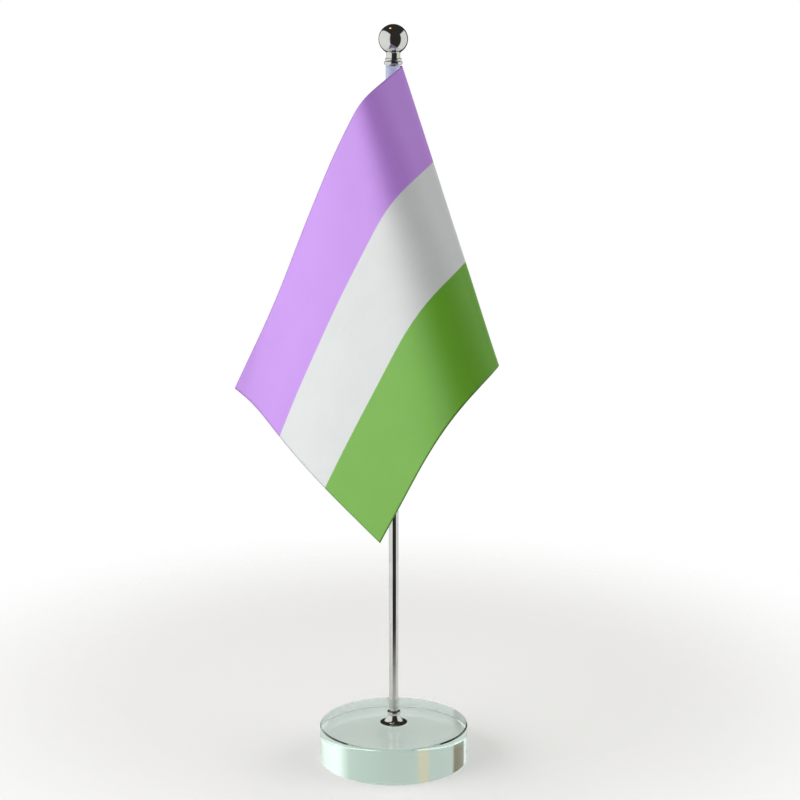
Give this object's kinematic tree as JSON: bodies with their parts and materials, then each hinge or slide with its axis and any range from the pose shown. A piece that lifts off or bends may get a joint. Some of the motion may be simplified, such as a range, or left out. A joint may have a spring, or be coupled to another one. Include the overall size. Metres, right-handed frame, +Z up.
{
  "type": "desk flag stand",
  "caption": "Small table flag: chrome pole with a ball finial, trumpet collar on a thick clear glass disc, and a striped satin flag hanging from a sleeve",
  "frame": {"origin": "centre of the glass disc's underside, on the pole's axis", "axes": "+Z up along the pole; +X to the right and -Y towards the viewer when the flag's face is seen"},
  "size_m": [0.1332, 0.1544, 0.3927],
  "materials": {
    "clear_glass": "polished",
    "clear_adhesive": "gloss",
    "chrome": "polished",
    "threaded_steel": "machined",
    "sleeve_satin": "satin",
    "sewing_thread": "matte",
    "flag_satin": "satin"
  },
  "bodies": {
    "base": {"glass_disc": "clear_glass", "adhesive_pad": "clear_adhesive", "base_collar": "chrome"},
    "pole": {"pole": "chrome", "pole_stud": "threaded_steel", "finial_stud": "threaded_steel", "finial_flange": "chrome"},
    "finial": {"finial_ball": "chrome"},
    "sleeve": {"pole_sleeve": "sleeve_satin"},
    "flag": {"hoist_tape": "sleeve_satin", "hoist_thread_front": "sewing_thread", "hoist_thread_back": "sewing_thread", "flag_panel": "flag_satin"}
  },
  "joints": [
    {"name": "pole_unscrew", "type": "slide", "parent": "base", "child": "pole", "axis": [0, 0, 1], "range_m": [0, 0.006]},
    {"name": "finial_unscrew", "type": "slide", "parent": "pole", "child": "finial", "axis": [0, 0, 1], "range_m": [0, 0.008]},
    {"name": "sleeve_slide", "type": "slide", "parent": "pole", "child": "sleeve", "axis": [0, 0, 1], "range_m": [-0.12, 0]},
    {"name": "flag_swivel", "type": "hinge", "parent": "sleeve", "child": "flag", "pos_m": [0, 0, 0.3], "axis": [0, 0, 1], "continuous": true}
  ]
}
